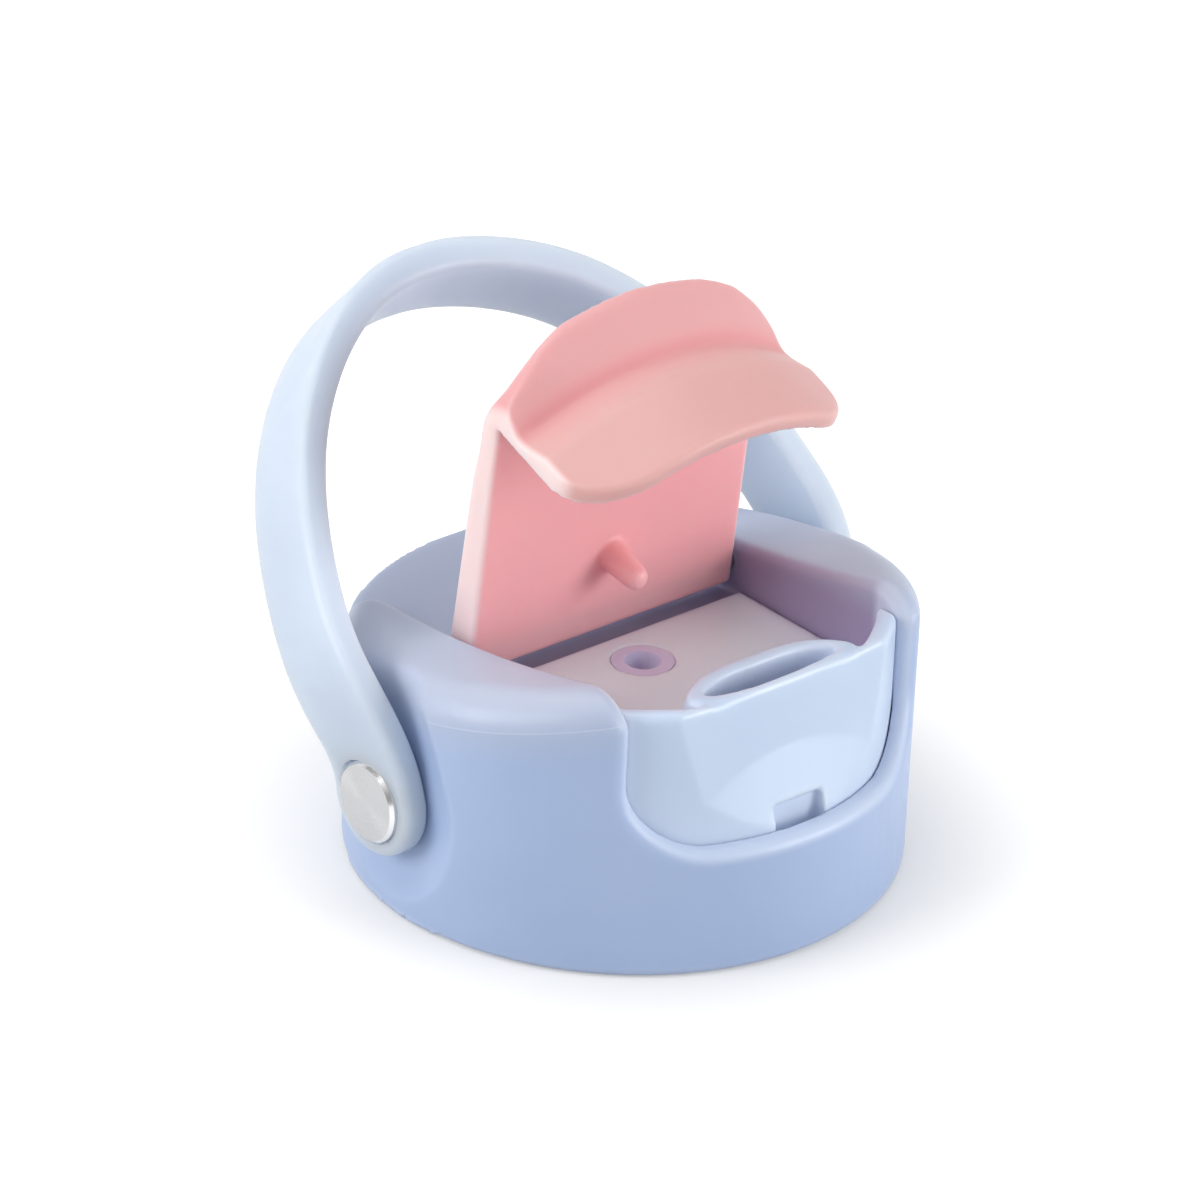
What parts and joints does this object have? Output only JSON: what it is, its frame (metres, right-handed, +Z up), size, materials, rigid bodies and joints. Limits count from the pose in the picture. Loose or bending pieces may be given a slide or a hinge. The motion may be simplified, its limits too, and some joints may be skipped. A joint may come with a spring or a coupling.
{
  "type": "flip-top spout cap",
  "caption": "Round flip-top drinking cap with a hinged cover, a ring-shaped spout, a vent valve and a pivoting carry strap held by domed-edge rivets.",
  "frame": {"origin": "centre of the plane of the base rim, on the cap's axis, at the mouth of the neck bore", "axes": "+Z up along the cap's axis, -Y to the front where the spout is, +X to the right when the spout faces the viewer's left front"},
  "size_m": [0.071, 0.0776, 0.0658],
  "materials": {
    "shell": "matte",
    "liner": "satin",
    "cover": "matte",
    "strap": "satin",
    "silicone": "satin",
    "steel": "brushed"
  },
  "bodies": {
    "cap": {"cap_shell": "shell", "spout_liner": "liner", "cover_hinge_pin": "steel", "vent_valve": "silicone", "neck_gasket": "silicone", "rivet_cap_right": "steel", "rivet_cap_left": "steel", "rivet_screw_right": "steel", "rivet_screw_left": "steel"},
    "cover": {"flip_cover": "cover"},
    "strap": {"carry_strap": "strap"}
  },
  "joints": [
    {"name": "cover_hinge", "type": "hinge", "parent": "cap", "child": "cover", "pos_m": [0, 0.0063, 0.0262], "axis": [1, 0, 0], "range_deg": [0, 69]},
    {"name": "strap_swing", "type": "hinge", "parent": "cap", "child": "strap", "pos_m": [0, 0.0043, 0.0134], "axis": [1, 0, 0], "range_deg": [-45, 30]}
  ]
}
